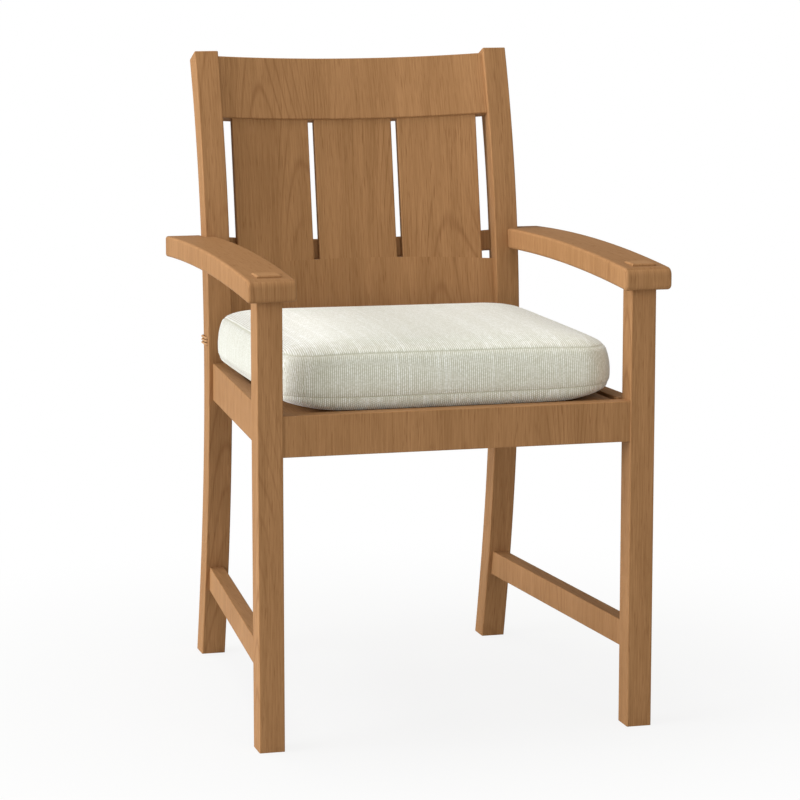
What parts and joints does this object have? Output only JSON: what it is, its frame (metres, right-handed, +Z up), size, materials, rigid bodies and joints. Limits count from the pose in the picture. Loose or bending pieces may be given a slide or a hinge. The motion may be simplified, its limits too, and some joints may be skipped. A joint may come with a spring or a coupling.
{
  "type": "dining armchair",
  "caption": "Teak dining armchair with a bowed slatted back, arched armrests on the front legs, side stretchers and a loose boxed seat cushion that lifts off.",
  "frame": {"origin": "on the floor, under the middle of the chair's outline", "axes": "+Z up, +Y to the rear of the chair, +X to the right of someone who looks at its front"},
  "size_m": [0.588, 0.6468, 0.9136],
  "materials": {
    "teak": "oiled, satin",
    "cover_fabric": "woven, matte",
    "foam": "open cells, matte",
    "zip_tape_fabric": "woven tape",
    "zip_metal": "plated, satin",
    "tie_cord": "twisted cord, matte",
    "screw_steel": "plain, satin"
  },
  "bodies": {
    "frame": {"front_leg_left": "teak", "front_leg_right": "teak", "rear_post_left": "teak", "rear_post_right": "teak", "front_seat_rail": "teak", "rear_seat_rail": "teak", "side_seat_rail_left": "teak", "side_seat_rail_right": "teak", "side_stretcher_left": "teak", "side_stretcher_right": "teak", "armrest_left": "teak", "armrest_right": "teak", "rear_arm_bar": "teak", "crest_rail": "teak", "lower_back_rail": "teak", "back_slat_left": "teak", "back_slat_centre": "teak", "back_slat_right": "teak", "seat_slat_1": "teak", "seat_slat_2": "teak", "seat_slat_3": "teak", "seat_slat_4": "teak", "seat_slat_5": "teak", "seat_slat_outer_left": "teak", "seat_slat_outer_right": "teak", "seat_cleat_front": "teak", "seat_cleat_rear": "teak", "seat_bearer": "teak", "corner_block_front_left": "teak", "corner_block_front_right": "teak", "corner_block_rear_left": "teak", "corner_block_rear_right": "teak", "arm_dowels": "teak", "seat_slat_screws": "screw_steel", "cleat_screws": "screw_steel", "corner_block_screws": "screw_steel", "cushion_tie_left": "tie_cord", "cushion_tie_right": "tie_cord"},
    "cushion": {"cushion_cover": "cover_fabric", "cushion_foam": "foam", "zip_tape": "zip_tape_fabric"},
    "zip_slider": {"zip_slider": "zip_metal"}
  },
  "joints": [
    {"name": "cushion_lift", "type": "slide", "parent": "frame", "child": "cushion", "axis": [0, 0, 1], "range_m": [0, 0.22]},
    {"name": "zip_slide", "type": "slide", "parent": "cushion", "child": "zip_slider", "axis": [1, 0, 0], "range_m": [0, 0.3]}
  ]
}
